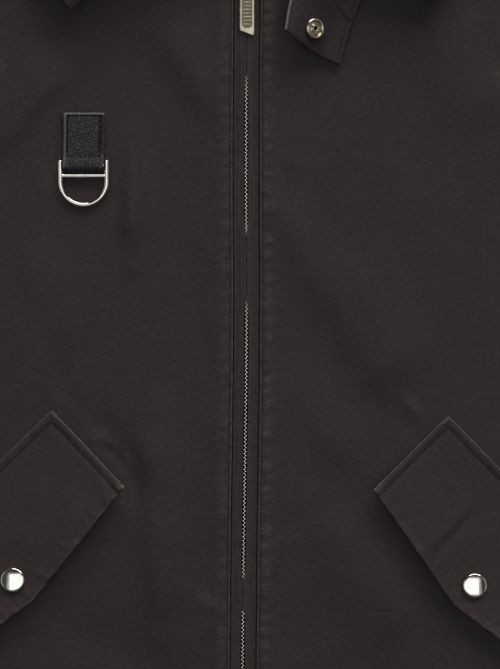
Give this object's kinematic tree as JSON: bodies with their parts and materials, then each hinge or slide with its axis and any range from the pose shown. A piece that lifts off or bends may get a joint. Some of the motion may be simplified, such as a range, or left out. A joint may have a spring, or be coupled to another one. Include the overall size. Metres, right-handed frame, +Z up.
{
  "type": "zip gilet",
  "caption": "Sleeveless waxed-cotton gilet laid flat, front up: turned-down collar, metal zip, slanted pointed pocket flaps, D-ring on a leather tab, throat tab with a snap.",
  "frame": {"origin": "under the middle of the gilet's outline, on the surface that it lies on", "axes": "+X towards the wearer's left, +Y from the hem to the collar, +Z up, out of the front"},
  "size_m": [0.552, 0.69, 0.0463],
  "materials": {
    "cloth": "matt",
    "leather": "satin",
    "nickel": "polished",
    "brass": "antique"
  },
  "bodies": {
    "garment": {"back": "cloth", "collar_leaf": "cloth", "collar_stand": "cloth", "front_left": "cloth", "front_right": "cloth", "pocket_flap_left": "cloth", "pocket_flap_right": "cloth", "ring_tab": "leather", "snap_cap_left": "nickel", "snap_cap_right": "nickel", "snap_stud_left": "nickel", "snap_stud_right": "nickel", "throat_snap_cap": "brass", "throat_snap_socket": "brass", "throat_tab": "cloth", "zip_end_box": "brass", "zip_slider": "brass", "zip_strip_left": "cloth", "zip_strip_right": "cloth", "zip_teeth": "brass"},
    "pull": {"zip_pull": "brass"},
    "d_ring": {"ring": "nickel"}
  },
  "joints": [
    {"name": "pull_swing", "type": "hinge", "parent": "garment", "child": "pull", "pos_m": [0.00063, 0.206, 0.0093], "axis": [-1, 0, 0], "range_deg": [0, 160]},
    {"name": "ring_swing", "type": "hinge", "parent": "garment", "child": "d_ring", "pos_m": [-0.0984, 0.0932, 0.00935], "axis": [-1, 0, 0], "range_deg": [0, 140]}
  ]
}
